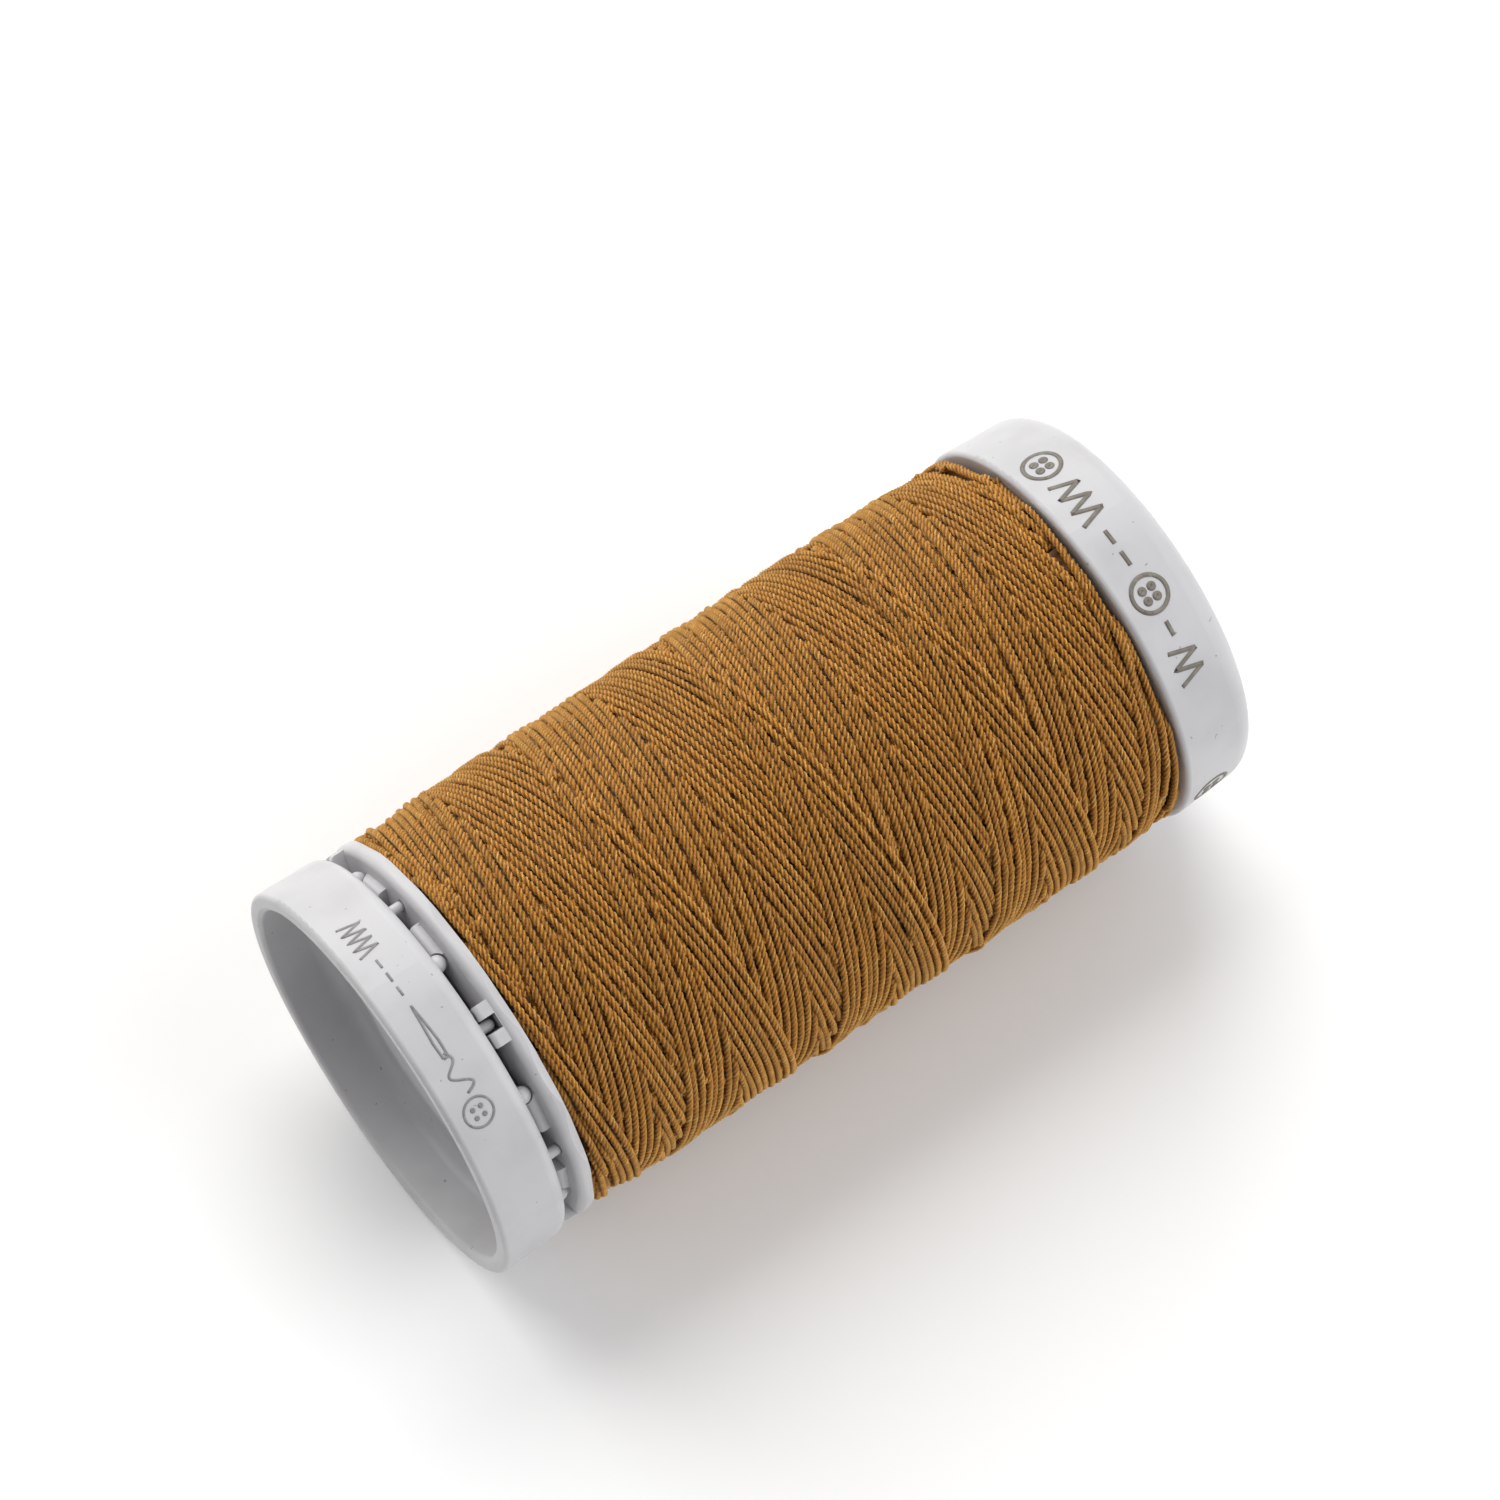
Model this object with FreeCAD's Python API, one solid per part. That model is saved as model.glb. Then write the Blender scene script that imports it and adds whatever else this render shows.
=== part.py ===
import FreeCAD, Part
import math
import os

# Spool of heavy sewing thread with a snap-lock foot, lying on its side.
#
# Frame: +X runs along the spool from the foot to the head, +Z is up, and the origin is the
# middle of the bottom of the bounding box. Stations along the spool are measured from the open
# rim of the foot, so station 0 is the foot end and station SPOOL_LENGTH is the head end.
# All lengths are millimetres and all angles are degrees.

V = FreeCAD.Vector

# ---- Driving dimensions ------------------------------------------------------------------
SPOOL_LENGTH = 52.6
FOOT_RADIUS = 12.5          # open rim of the foot, the widest part of the spool
FOOT_DEPTH = 4.4            # from the rim to the face that closes against the flange
FOOT_TRAVEL = 1.8           # how far the foot pulls out to free the thread end

FLANGE_CORNER_RADIUS = 12.2
FLANGE_SIDES = 16
FLANGE_UNDER = 5.35         # station of the underside of the flange rim
FLANGE_TOP = 6.23           # station of the face that the thread is wound against

HEAD_START = 47.3           # station of the thread-side face of the head
HEAD_RADIUS = 12.35
HEAD_END_RADIUS = 12.05
HEAD_ROUND = 1.5

CORE_RADIUS = 5.7           # outside of the tube that carries the winding
PIN_BORE_RADIUS = 4.2       # takes the spool pin of a sewing machine
WINDING_RADIUS = 12.42      # fullest radius of the wound thread
THREAD_DIAMETER = 0.38

# ---- Foot ----------------------------------------------------------------------------------
FOOT_FACE_RADIUS = 12.35
FOOT_CORNER = 0.8
FOOT_RIM_ROUND = 0.3
FOOT_MOUTH_RADIUS = 11.42
FOOT_FLOOR_RADIUS = 11.15
FOOT_WEB = 0.85
FOOT_FLOOR_ROUND = 1.1
HUB_HEIGHT = 0.35           # low raised ring round the bore, inside the cup
HUB_RADIUS = 8.0
TOOTH_PAIRS = 8
NARROW_TOOTH_CIRCLE = 11.1
NARROW_TOOTH_RADIUS = 0.32
NARROW_TOOTH_HEIGHT = 0.88
WIDE_TOOTH_CIRCLE = 11.0
WIDE_TOOTH_RADIUS = 0.52
WIDE_TOOTH_HEIGHT = 0.68

# ---- Stem of the foot, which slides in the barrel -------------------------------------------
STEM_RADIUS = 5.3
STEM_CLEARANCE = 0.05
STEM_END = 12.9
BEAD_RADIUS = 5.75
BEAD_START = 11.9           # the bead stops the foot when it is pulled out
BEAD_LEAD = 0.35
FINGER_SLOTS = 4
FINGER_SLOT_WIDTH = 1.1
FINGER_ROOT = 7.2           # station where the slots between the spring fingers begin

# ---- Flange, lands and socket of the barrel --------------------------------------------------
BOSS_RADIUS = 6.4
SOCKET_RADIUS = 6.9         # the tube is thicker where it holds the stem
SOCKET_END = 14.2
SOCKET_TAPER = 1.2
RECESS_CLEARANCE = 0.05
RECESS_END = 13.0
LAND_COUNT = 4
LAND_ANGLE = 12.4
LAND_RADIUS = 12.06
LAND_FOOT = 4.5             # station where the lands stop, just clear of the closed foot
LAND_TOP = 6.0              # station where they have run into the rim
LAND_ROUND = 0.3
RIBS_BETWEEN_LANDS = 2      # lower ribs between two lands
RIB_ANGLE = 12.4
RIB_RADIUS = 11.2
RIB_ROUND = 0.4
SKIRT_FOOT = 4.95           # the sloping underside of the flange starts at this station
SKIRT_OUTER_RADIUS = 9.9
SKIRT_INNER_RADIUS = 9.4
PLATE_UNDER = 5.62          # underside of the thin plate inside the skirt
RIM_LOWER_ROUND = 0.5
RIM_EDGE_ROUND = 0.2
FACET_TOP_APOTHEM = 11.93   # the facets of the rim, from the face that the thread is wound against
FACET_SLOPE = 0.55          # how much they widen for each millimetre towards the foot
TOOTH_CLEARANCE = 0.1
TOOTH_SLOT_WIDTH = 0.9      # open slot in each land for its narrow tooth
TOOTH_SLOT_TOP = 5.4
TOOTH_SLOT_INNER_RADIUS = 9.7

# Angles are measured round the spool from +Y towards +Z.
LAND_PHASE = 23.7
TOOTH_PHASE = 23.7
FLAT_PHASE = 8.1

# ---- Head ------------------------------------------------------------------------------------
HEAD_WEB = 1.0
HEAD_WALL = 1.15
HEAD_EDGE_ROUND = 0.3
HEAD_SOCKET_WALL = 1.2
HEAD_SOCKET_DEPTH = 2.4
HEAD_DISC = 1.1
BARREL_HEAD_GAP = 0.1
LABEL_OUTER_RADIUS = 9.8
LABEL_INNER_RADIUS = 4.9
LABEL_RECESS = 0.18
LABEL_THICKNESS = 0.12
LABEL_MARGIN = 0.15
PIN_LEAD = 0.25

# ---- Thread ----------------------------------------------------------------------------------
WINDING_END_RADIUS = 12.02
WINDING_SHOULDER = 5.0      # length over which the winding fills out at each end
WINDING_GAP = 0.02
TAIL_START = 262.0
TAIL_SWEEP = 74.0
TAIL_GROOVE_STATION = 4.83

AXIS_HEIGHT = FOOT_RADIUS
AXIS_POINT = V(0, 0, AXIS_HEIGHT)
AXIS_DIRECTION = V(1, 0, 0)
FULL_TURN = 360.0
MERGE = 0.1                 # how far fused shapes reach into each other
CUT_PAST = 1.0              # how far a cutter runs past what it cuts
CUTTER_REACH = 2 * FOOT_RADIUS
STEM_GUIDE_RADIUS = STEM_RADIUS + STEM_CLEARANCE


def at(station, radius):
    """A point of a turned profile, in the plane above the spool's axis."""
    return V(station - SPOOL_LENGTH / 2, 0, AXIS_HEIGHT + radius)


def rounded_outline(corners):
    """A closed wire through (station, radius, corner_round) points, with tangent arcs."""
    points = [at(station, radius) for station, radius, _ in corners]
    edges = []
    joints = []
    for index, (_, _, corner_round) in enumerate(corners):
        here = points[index]
        to_last = (points[index - 1] - here).normalize()
        to_next = (points[(index + 1) % len(points)] - here).normalize()
        if corner_round == 0:
            joints.append((here, here))
            continue
        half_angle = to_last.getAngle(to_next) / 2
        setback = corner_round / math.tan(half_angle)
        start = here + to_last * setback
        end = here + to_next * setback
        inward = (to_last + to_next).normalize()
        middle = here + inward * (corner_round / math.sin(half_angle) - corner_round)
        edges.append((index, Part.Arc(start, middle, end).toShape()))
        joints.append((start, end))
    arcs = dict(edges)
    wire_edges = []
    for index in range(len(points)):
        if index in arcs:
            wire_edges.append(arcs[index])
        leave = joints[index][1]
        arrive = joints[(index + 1) % len(points)][0]
        if leave.distanceToPoint(arrive) > 1e-6:
            wire_edges.append(Part.LineSegment(leave, arrive).toShape())
    return Part.Wire(wire_edges)


def turned(corners, sweep=FULL_TURN):
    """A solid of revolution about the spool's axis."""
    face = Part.Face(rounded_outline(corners))
    return face.revolve(AXIS_POINT, AXIS_DIRECTION, sweep)


def turned_round(shape, angle):
    """A copy turned round the spool's axis, from the top of the spool to the given angle."""
    copy = shape.copy()
    copy.rotate(AXIS_POINT, AXIS_DIRECTION, angle - 90)
    return copy


def tube(start, end, outer, inner):
    """A plain ring between two stations."""
    return turned([(start, inner, 0), (start, outer, 0), (end, outer, 0), (end, inner, 0)])


def tooth(circle, radius, height, extra=0.0):
    """One domed tooth at the top of the foot's closing face, grown by a clearance."""
    shank = height - radius
    root = at(FOOT_DEPTH - FOOT_WEB / 2, circle)
    length = FOOT_WEB / 2 + shank
    pin = Part.makeCylinder(radius + extra, length, root, AXIS_DIRECTION)
    dome = Part.makeSphere(radius + extra, at(FOOT_DEPTH + shank, circle))
    return pin.fuse(dome)


def teeth(extra=0.0):
    """All the teeth, narrow and wide in turn."""
    step = FULL_TURN / TOOTH_PAIRS
    shapes = []
    narrow = tooth(NARROW_TOOTH_CIRCLE, NARROW_TOOTH_RADIUS, NARROW_TOOTH_HEIGHT, extra)
    wide = tooth(WIDE_TOOTH_CIRCLE, WIDE_TOOTH_RADIUS, WIDE_TOOTH_HEIGHT, extra)
    for index in range(TOOTH_PAIRS):
        angle = TOOTH_PHASE + index * step
        shapes.append(turned_round(narrow, angle))
        shapes.append(turned_round(wide, angle + step / 2))
    return shapes


def snap_foot():
    """The foot: an open cup with teeth on its closing face and a split stem with a stop bead."""
    web_start = FOOT_DEPTH - FOOT_WEB
    hub_face = web_start - HUB_HEIGHT
    cup = turned([
        (0, FOOT_MOUTH_RADIUS, FOOT_RIM_ROUND),
        (0, FOOT_RADIUS, FOOT_RIM_ROUND),
        (FOOT_DEPTH, FOOT_FACE_RADIUS, FOOT_CORNER),
        (FOOT_DEPTH, STEM_RADIUS, 0),
        (BEAD_START, STEM_RADIUS, 0),
        (BEAD_START, BEAD_RADIUS, 0),
        (STEM_END - BEAD_LEAD, BEAD_RADIUS, 0),
        (STEM_END, STEM_RADIUS, 0),
        (STEM_END, PIN_BORE_RADIUS, 0),
        (hub_face, PIN_BORE_RADIUS, 0),
        (hub_face, HUB_RADIUS - HUB_HEIGHT, 0),
        (web_start, HUB_RADIUS, 0),
        (web_start, FOOT_FLOOR_RADIUS, FOOT_FLOOR_ROUND),
    ])
    slots = []
    for index in range(FINGER_SLOTS):
        corner = at(FINGER_ROOT, 0) - V(0, FINGER_SLOT_WIDTH / 2, 0)
        length = STEM_END - FINGER_ROOT + CUT_PAST
        blade = Part.makeBox(length, FINGER_SLOT_WIDTH, CUTTER_REACH, corner)
        slots.append(turned_round(blade, LAND_PHASE + index * FULL_TURN / FINGER_SLOTS))
    return cup.fuse(teeth()).cut(slots).removeSplitter()


def many_sided_wire(station, apothem):
    """A closed many-sided outline about the spool's axis."""
    step = FULL_TURN / FLANGE_SIDES
    corner_radius = apothem / math.cos(math.radians(step / 2))
    points = []
    for index in range(FLANGE_SIDES + 1):
        angle = math.radians(FLAT_PHASE + index * step)
        across = corner_radius * math.cos(angle)
        up = corner_radius * math.sin(angle)
        points.append(at(station, 0) + V(0, across, up))
    return Part.makePolygon(points)


def rim():
    """The rim and its sloping skirt, with facets that fade out towards the foot."""
    plate = turned([
        (SKIRT_FOOT, SKIRT_INNER_RADIUS, 0),
        (SKIRT_FOOT, SKIRT_OUTER_RADIUS, 0),
        (FLANGE_UNDER, FLANGE_CORNER_RADIUS, RIM_LOWER_ROUND),
        (FLANGE_TOP, FLANGE_CORNER_RADIUS, RIM_EDGE_ROUND),
        (FLANGE_TOP, STEM_GUIDE_RADIUS, 0),
        (PLATE_UNDER, STEM_GUIDE_RADIUS, 0),
        (PLATE_UNDER, SKIRT_INNER_RADIUS, 0),
    ])
    widest = FACET_TOP_APOTHEM + FACET_SLOPE * (FLANGE_TOP - SKIRT_FOOT)
    outlines = [
        many_sided_wire(SKIRT_FOOT, widest),
        many_sided_wire(FLANGE_TOP, FACET_TOP_APOTHEM),
    ]
    return plate.common(Part.makeLoft(outlines, True, True))


def standing_block(outer_radius, edge_round, top, block_angle, centre):
    """A block that stands on the skirt and closes against the foot."""
    block = turned([
        (LAND_FOOT, SKIRT_INNER_RADIUS, 0),
        (LAND_FOOT, outer_radius, edge_round),
        (top, outer_radius, 0),
        (top, SKIRT_INNER_RADIUS, 0),
    ], block_angle)
    return turned_round(block, centre - block_angle / 2)


def flange():
    """The flange: its rim and skirt, slotted lands, lower ribs, and relief for the teeth."""
    step = FULL_TURN / LAND_COUNT
    rib_step = step / (RIBS_BETWEEN_LANDS + 1)
    slot_corner = at(LAND_FOOT - CUT_PAST, TOOTH_SLOT_INNER_RADIUS) - V(0, TOOTH_SLOT_WIDTH / 2, 0)
    slot_length = TOOTH_SLOT_TOP - LAND_FOOT + CUT_PAST
    slot = Part.makeBox(slot_length, TOOTH_SLOT_WIDTH, CUTTER_REACH, slot_corner)
    blocks = []
    cutters = teeth(TOOTH_CLEARANCE)
    for index in range(LAND_COUNT):
        centre = LAND_PHASE + index * step
        blocks.append(standing_block(LAND_RADIUS, LAND_ROUND, LAND_TOP, LAND_ANGLE, centre))
        cutters.append(turned_round(slot, centre))
        for rib in range(1, RIBS_BETWEEN_LANDS + 1):
            middle = centre + rib * rib_step
            blocks.append(standing_block(RIB_RADIUS, RIB_ROUND, FLANGE_UNDER, RIB_ANGLE, middle))
    return rim().fuse(blocks).cut(cutters)


def barrel_tube():
    """The tube: a thicker socket for the stem, with a recess for its bead, then the core."""
    core_end = SPOOL_LENGTH - HEAD_DISC - BARREL_HEAD_GAP
    recess_radius = BEAD_RADIUS + RECESS_CLEARANCE
    recess_start = BEAD_START - FOOT_TRAVEL
    return turned([
        (LAND_FOOT, STEM_GUIDE_RADIUS, 0),
        (LAND_FOOT, BOSS_RADIUS, 0),
        (PLATE_UNDER + MERGE, BOSS_RADIUS, 0),
        (PLATE_UNDER + MERGE, SOCKET_RADIUS, 0),
        (SOCKET_END, SOCKET_RADIUS, 0),
        (SOCKET_END + SOCKET_TAPER, CORE_RADIUS, 0),
        (core_end, CORE_RADIUS, 0),
        (core_end, PIN_BORE_RADIUS, 0),
        (RECESS_END, PIN_BORE_RADIUS, 0),
        (RECESS_END, recess_radius, 0),
        (recess_start, recess_radius, 0),
        (recess_start, STEM_GUIDE_RADIUS, 0),
    ])


def spool_barrel():
    """The one-piece barrel: flange, socket and core tube, and the web under the head."""
    web_radius = HEAD_RADIUS - HEAD_WALL
    head_web = tube(HEAD_START, HEAD_START + HEAD_WEB, web_radius, CORE_RADIUS - MERGE)
    return flange().fuse([barrel_tube(), head_web]).removeSplitter()


def head_cap():
    """The cover of the head: a cup pressed over the barrel's end web and tube."""
    wall_inner = HEAD_RADIUS - HEAD_WALL
    disc_start = SPOOL_LENGTH - HEAD_DISC
    socket_outer = CORE_RADIUS + HEAD_SOCKET_WALL
    shell = turned([
        (HEAD_START, wall_inner, 0),
        (HEAD_START, HEAD_RADIUS, HEAD_EDGE_ROUND),
        (SPOOL_LENGTH, HEAD_END_RADIUS, HEAD_ROUND),
        (SPOOL_LENGTH, LABEL_OUTER_RADIUS + LABEL_MARGIN, 0),
        (SPOOL_LENGTH - LABEL_RECESS, LABEL_OUTER_RADIUS + LABEL_MARGIN, 0),
        (SPOOL_LENGTH - LABEL_RECESS, PIN_BORE_RADIUS + PIN_LEAD, 0),
        (disc_start, PIN_BORE_RADIUS, 0),
        (disc_start, CORE_RADIUS, 0),
        (disc_start - HEAD_SOCKET_DEPTH, CORE_RADIUS, 0),
        (disc_start - HEAD_SOCKET_DEPTH, socket_outer, 0),
        (disc_start, socket_outer, 0),
        (disc_start, wall_inner, HEAD_ROUND / 2),
    ])
    return shell


def head_label():
    """The paper ring stuck in the shallow recess of the head."""
    back = SPOOL_LENGTH - LABEL_RECESS
    return tube(back, back + LABEL_THICKNESS, LABEL_OUTER_RADIUS, LABEL_INNER_RADIUS)


def thread_winding():
    """The wound thread as one closed solid, full in the middle and drawn in at both ends."""
    start = FLANGE_TOP + WINDING_GAP
    end = HEAD_START - WINDING_GAP
    core = CORE_RADIUS + WINDING_GAP
    socket = SOCKET_RADIUS + WINDING_GAP
    return turned([
        (SOCKET_END + SOCKET_TAPER, core, 0),
        (SOCKET_END, socket, 0),
        (start, socket, 0),
        (start, WINDING_END_RADIUS, 0),
        (start + WINDING_SHOULDER, WINDING_RADIUS, 0),
        (end - WINDING_SHOULDER, WINDING_RADIUS, 0),
        (end, WINDING_END_RADIUS, 0),
        (end, core, 0),
    ])


def thread_tail():
    """The thread's end, locked in the groove between the foot and the flange."""
    radius = LAND_RADIUS + THREAD_DIAMETER / 2 + WINDING_GAP
    centre = at(TAIL_GROOVE_STATION, radius)
    section = Part.Face(Part.Wire(Part.makeCircle(THREAD_DIAMETER / 2, centre, V(0, 1, 0))))
    return turned_round(section.revolve(AXIS_POINT, AXIS_DIRECTION, TAIL_SWEEP), TAIL_START)


PARTS = {
    "spool_barrel": spool_barrel,
    "snap_foot": snap_foot,
    "head_cap": head_cap,
    "head_label": head_label,
    "thread_winding": thread_winding,
    "thread_tail": thread_tail,
}

os.makedirs("parts", exist_ok=True)
for name, make in PARTS.items():
    solid = make()
    solid.exportStep("parts/" + name + ".step")
    box = solid.BoundBox
    print(name, "valid", solid.isValid(), "solids", len(solid.Solids), "volume", round(solid.Volume, 1),
          "x", round(box.XMin, 2), round(box.XMax, 2), "z", round(box.ZMin, 2), round(box.ZMax, 2))
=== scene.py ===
"""The looks of a spool of heavy sewing thread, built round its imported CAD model.

The thread is laid turn by turn over a height field, as a winding machine lays it, and each visible
stretch becomes a twisted three-ply strand. The mouldings get a satin white plastic, the head gets a
printed paper ring, and the print on the rims is a plain stitch pattern.
"""

import logging
import math
from dataclasses import dataclass, replace
from enum import Enum

import bpy
import numpy as np
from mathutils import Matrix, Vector


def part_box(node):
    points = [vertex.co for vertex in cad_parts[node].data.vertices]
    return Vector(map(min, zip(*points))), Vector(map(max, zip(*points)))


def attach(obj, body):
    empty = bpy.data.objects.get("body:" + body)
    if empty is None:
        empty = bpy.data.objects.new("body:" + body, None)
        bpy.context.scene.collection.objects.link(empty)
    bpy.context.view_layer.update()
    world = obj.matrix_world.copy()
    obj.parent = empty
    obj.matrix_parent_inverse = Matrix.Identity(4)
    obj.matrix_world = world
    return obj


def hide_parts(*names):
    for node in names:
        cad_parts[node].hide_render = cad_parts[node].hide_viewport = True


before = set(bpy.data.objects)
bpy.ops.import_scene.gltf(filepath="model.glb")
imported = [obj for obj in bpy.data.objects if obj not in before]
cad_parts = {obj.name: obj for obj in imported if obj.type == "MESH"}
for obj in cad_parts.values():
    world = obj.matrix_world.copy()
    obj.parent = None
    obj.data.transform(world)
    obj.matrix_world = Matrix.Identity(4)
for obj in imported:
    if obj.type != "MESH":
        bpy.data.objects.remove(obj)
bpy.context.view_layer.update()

MM = 0.001
TURN = 2 * math.pi
# The side of the spool that faces the camera, as an angle from +Y towards +Z.
FACING_ANGLE = math.radians(110.6)
NO_TRIANGLES = np.zeros((0, 3), int)
log = logging.getLogger("spool")


class Body(Enum):
    """The rigid bodies that pieces ride on."""

    SPOOL = "spool"
    FOOT = "foot"


class Slot(Enum):
    """The record's material slots."""

    BARREL = "spool_plastic"
    FOOT = "foot_plastic"
    HEAD = "head_plastic"
    LABEL = "label_paper"
    THREAD = "thread"


class Node(Enum):
    """The CAD nodes of the spool."""

    BARREL = "spool_barrel"
    FOOT = "snap_foot"
    HEAD = "head_cap"
    LABEL = "head_label"
    WINDING = "thread_winding"
    TAIL = "thread_tail"


class Travel(Enum):
    """Which way the thread guide moves along the spool while a strand is laid."""

    TO_HEAD = 1
    TO_FOOT = -1


# ---- Shader bench ---------------------------------------------------------------------------


class Signal:
    """A value socket that can be used in plain arithmetic; each operator adds a Math node."""

    def __init__(self, bench: "ShaderBench", socket: bpy.types.NodeSocket) -> None:
        """Keeps the bench that adds nodes and the socket that carries the value."""
        self.bench = bench
        self.socket = socket

    def _math(self, operation: str, first: "Signal | float", second: "Signal | float") -> "Signal":
        """Adds one Math node.

        Args:
            operation: the Math node's operation.
            first: the first value.
            second: the second value.

        Returns:
            The node's result.
        """
        values = {0: first, 1: second}
        return self.bench.node("ShaderNodeMath", {"operation": operation}, values).signal()

    def __add__(self, other: "Signal | float") -> "Signal":
        """This value plus another."""
        return self._math("ADD", self, other)

    def __radd__(self, other: "Signal | float") -> "Signal":
        """Another value plus this one."""
        return self._math("ADD", other, self)

    def __sub__(self, other: "Signal | float") -> "Signal":
        """This value less another."""
        return self._math("SUBTRACT", self, other)

    def __rsub__(self, other: "Signal | float") -> "Signal":
        """Another value less this one."""
        return self._math("SUBTRACT", other, self)

    def __mul__(self, other: "Signal | float") -> "Signal":
        """This value times another."""
        return self._math("MULTIPLY", self, other)

    def __rmul__(self, other: "Signal | float") -> "Signal":
        """Another value times this one."""
        return self._math("MULTIPLY", other, self)

    def above(self, edge: float, softness: float) -> "Signal":
        """A soft step.

        Args:
            edge: the value where the step starts.
            softness: how far past the edge the step takes to reach 1.

        Returns:
            0 below the edge and 1 above the edge and its softness.
        """
        settings = {"interpolation_type": "SMOOTHSTEP"}
        values = {"Value": self, "From Min": edge, "From Max": edge + softness}
        return self.bench.node("ShaderNodeMapRange", settings, values).signal("Result")


class NodeHandle:
    """One node on the bench, whose outputs are read by name or number."""

    def __init__(self, bench: "ShaderBench", node: bpy.types.Node) -> None:
        """Keeps the bench and the node."""
        self.bench = bench
        self.node = node

    def signal(self, output: int | str = 0) -> Signal:
        """An output as a value for arithmetic."""
        return Signal(self.bench, self.node.outputs[output])

    def out(self, output: int | str = 0) -> bpy.types.NodeSocket:
        """An output as a plain socket."""
        return self.node.outputs[output]


class ShaderBench:
    """A material's node tree, with one way to add any node."""

    def __init__(self, name: str) -> None:
        """Starts a material with only its output node."""
        self.material = bpy.data.materials.new(name)
        self.material.use_nodes = True
        self.tree = self.material.node_tree
        self.tree.nodes.clear()

    def node(self, kind: str, settings: dict, values: dict) -> NodeHandle:
        """Adds a node.

        Args:
            kind: the node's type name.
            settings: properties that are set first, such as an operation.
            values: socket name or number to a Signal, a socket or a constant.

        Returns:
            A handle on the node.
        """
        made = self.tree.nodes.new(kind)
        for key, setting in settings.items():
            setattr(made, key, setting)
        for key, value in values.items():
            if isinstance(value, Signal):
                self.tree.links.new(value.socket, made.inputs[key])
            elif isinstance(value, bpy.types.NodeSocket):
                self.tree.links.new(value, made.inputs[key])
            else:
                made.inputs[key].default_value = value
        return NodeHandle(self, made)

    def attribute(self, name: str) -> NodeHandle:
        """A named mesh attribute, whose outputs are the value "Fac" and the place "Vector"."""
        return self.node("ShaderNodeAttribute", {"attribute_name": name}, {})

    def place(self) -> bpy.types.NodeSocket:
        """The point's place in the object, in metres."""
        return self.node("ShaderNodeTexCoord", {}, {}).out("Object")

    def noise(self, at: bpy.types.NodeSocket, scale: float, detail: float = 2.0) -> Signal:
        """Cloudy noise.

        Args:
            at: the place to read it at.
            scale: clouds per metre, or per unit of the place.
            detail: how many finer layers it has.

        Returns:
            A value about 0.5, from 0 to 1.
        """
        values = {"Vector": at, "Scale": scale, "Detail": detail}
        return self.node("ShaderNodeTexNoise", {}, values).signal("Fac")

    def stretched(self, at: bpy.types.NodeSocket, scale: tuple) -> bpy.types.NodeSocket:
        """A place scaled differently along each direction."""
        values = {0: at, 1: scale}
        return self.node("ShaderNodeVectorMath", {"operation": "MULTIPLY"}, values).out()

    def mixed(self, share: Signal | float, first: bpy.types.NodeSocket | tuple,
              second: bpy.types.NodeSocket | tuple) -> bpy.types.NodeSocket:
        """Two colours mixed.

        Args:
            share: how much of the second colour there is.
            first: the colour at a share of 0.
            second: the colour at a share of 1.

        Returns:
            The mixed colour.
        """
        made = self.node("ShaderNodeMix", {"data_type": "RGBA"}, {0: share, 6: first, 7: second})
        return made.out(2)

    def bumped(self, height: Signal, distance: float, strength: float) -> bpy.types.NodeSocket:
        """A normal bumped by a height.

        Args:
            height: the height, from 0 to 1.
            distance: the height in metres that 1 stands for.
            strength: how strongly it shows.

        Returns:
            The normal.
        """
        values = {"Height": height, "Distance": distance, "Strength": strength}
        return self.node("ShaderNodeBump", {}, values).out("Normal")

    def finish(self, values: dict) -> bpy.types.Material:
        """Adds the surface shader and the output.

        Args:
            values: the surface shader's sockets.

        Returns:
            The finished material.
        """
        surface = self.node("ShaderNodeBsdfPrincipled", {}, values)
        self.node("ShaderNodeOutputMaterial", {}, {"Surface": surface.out()})
        return self.material


def rgb(red: float, green: float, blue: float) -> tuple:
    """A linear colour from display values.

    Args:
        red: the red value, from 0 to 255.
        green: the green value, likewise.
        blue: the blue value, likewise.

    Returns:
        Red, green, blue and an alpha of 1.
    """
    linear = []
    for value in (red, green, blue):
        share = value / 255
        linear.append(share / 12.92 if share <= 0.04045 else ((share + 0.055) / 1.055) ** 2.4)
    return (*linear, 1.0)


# ---- Finishes -------------------------------------------------------------------------------


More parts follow.
